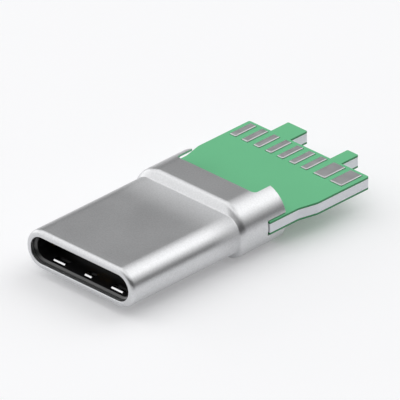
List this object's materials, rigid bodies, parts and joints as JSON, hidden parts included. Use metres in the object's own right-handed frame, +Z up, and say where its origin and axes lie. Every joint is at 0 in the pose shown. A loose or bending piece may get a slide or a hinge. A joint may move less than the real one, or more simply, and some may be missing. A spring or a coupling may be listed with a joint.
{
  "type": "usb-c plug",
  "caption": "Reversible cable plug: drawn steel shell with a stepped collar, black contact housing and a small green wiring board with solder pads.",
  "frame": {"origin": "centre of the mouth, in the plane of the lip, at mid-height", "axes": "+Y from the mouth to the wires, +Z up out of the face with the pads shown, +X to the right of one who looks into the mouth"},
  "size_m": [0.0092, 0.0194, 0.0034],
  "materials": {
    "shell_steel": "satin drawn",
    "spring_steel": "bright rolled",
    "black_moulding": "fine moulded",
    "gold_plate": "gold plated",
    "board_core": "routed edge",
    "green_mask": "satin lacquer",
    "tinned_pad": "tinned, satin",
    "solder": "soft bright"
  },
  "bodies": {
    "root": {"shell": "shell_steel", "front_housing": "black_moulding", "upper_ground_spring": "spring_steel", "lower_ground_spring": "spring_steel", "upper_contact_block": "black_moulding", "lower_contact_block": "black_moulding", "latch_plate": "spring_steel", "board_core": "board_core", "board_top_mask": "green_mask", "board_bottom_mask": "green_mask", "upper_tail_lands": "gold_plate", "lower_tail_lands": "gold_plate", "upper_tail_solder": "solder", "lower_tail_solder": "solder", "upper_contact_01": "gold_plate", "upper_contact_02": "gold_plate", "upper_contact_03": "gold_plate", "upper_contact_04": "gold_plate", "upper_contact_05": "gold_plate", "upper_contact_06": "gold_plate", "upper_contact_07": "gold_plate", "upper_contact_08": "gold_plate", "upper_contact_09": "gold_plate", "upper_contact_10": "gold_plate", "upper_contact_11": "gold_plate", "upper_contact_12": "gold_plate", "lower_contact_01": "gold_plate", "lower_contact_02": "gold_plate", "lower_contact_03": "gold_plate", "lower_contact_04": "gold_plate", "lower_contact_05": "gold_plate", "lower_contact_06": "gold_plate", "lower_contact_07": "gold_plate", "lower_contact_08": "gold_plate", "lower_contact_09": "gold_plate", "lower_contact_10": "gold_plate", "top_pad_1": "tinned_pad", "top_pad_2": "tinned_pad", "top_pad_3": "tinned_pad", "top_pad_4": "tinned_pad", "top_pad_5": "tinned_pad", "top_pad_6": "tinned_pad", "top_pad_7": "tinned_pad", "top_pad_8": "tinned_pad", "top_pad_9": "tinned_pad", "bottom_pad_1": "tinned_pad", "bottom_pad_2": "tinned_pad", "bottom_pad_3": "tinned_pad", "bottom_pad_4": "tinned_pad", "bottom_pad_5": "tinned_pad", "bottom_pad_6": "tinned_pad", "bottom_pad_7": "tinned_pad", "bottom_pad_8": "tinned_pad", "bottom_pad_9": "tinned_pad"}
  },
  "joints": []
}
